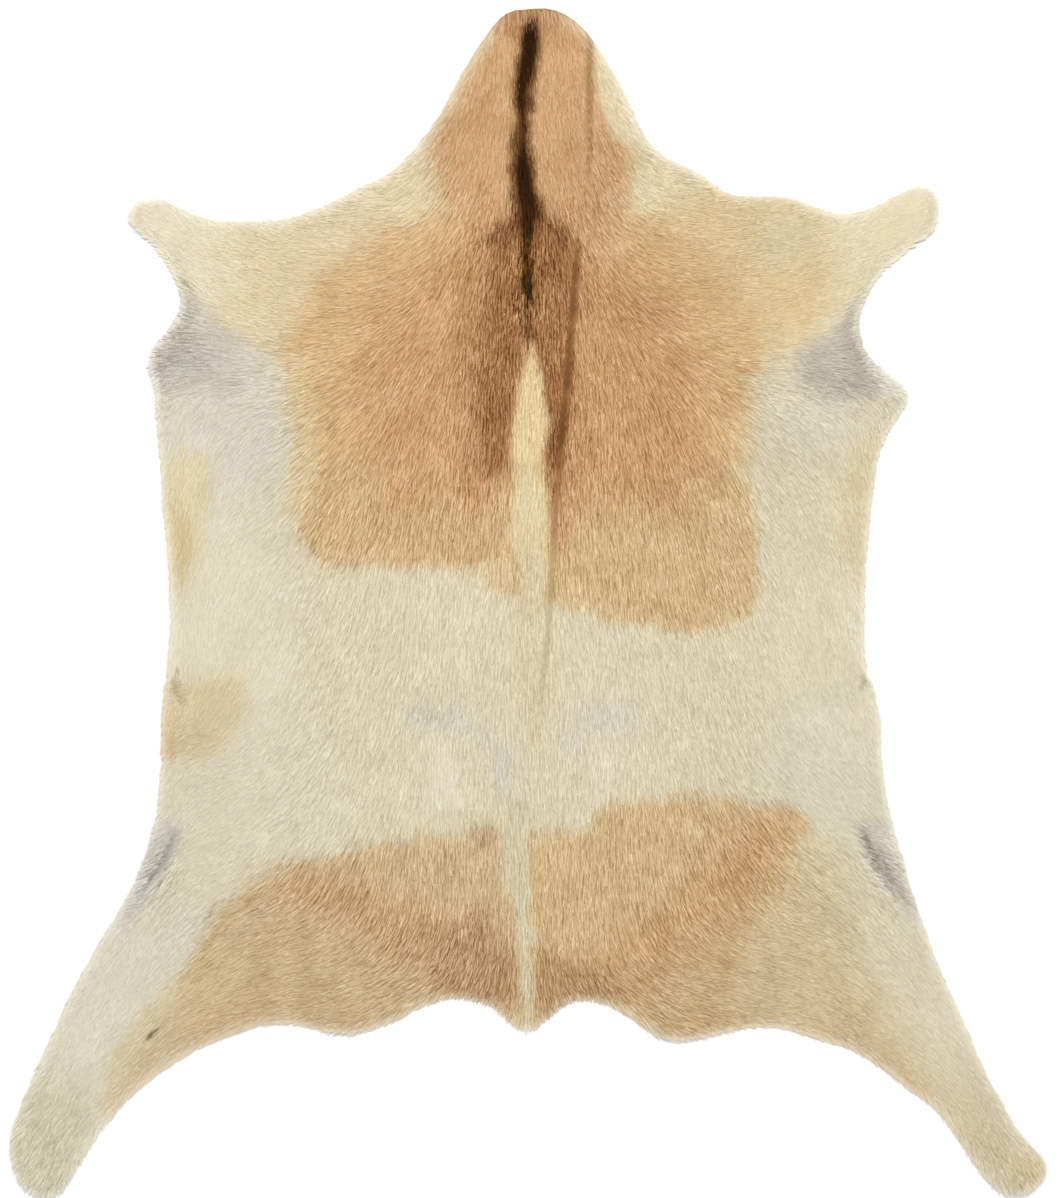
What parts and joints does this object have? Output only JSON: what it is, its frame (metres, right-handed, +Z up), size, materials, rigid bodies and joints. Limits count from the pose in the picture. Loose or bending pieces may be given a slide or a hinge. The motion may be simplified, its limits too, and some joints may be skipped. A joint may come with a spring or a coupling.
{
  "type": "goatskin",
  "caption": "Whole tanned goatskin with its short hair on, lying flat: neck, fore shanks, body, tail stub and hind legs, tan and cream with a dark stripe along the neck.",
  "frame": {"origin": "middle of the hide's bounding box, on the surface it lies on", "axes": "+Y towards the neck, +X towards the hide's right side seen from above with the neck away, +Z up out of the hair side"},
  "size_m": [0.7838, 0.9001, 0.0084],
  "materials": {
    "coat": "matte",
    "skin": "matte"
  },
  "bodies": {
    "root": {"hide": "coat"}
  },
  "joints": []
}
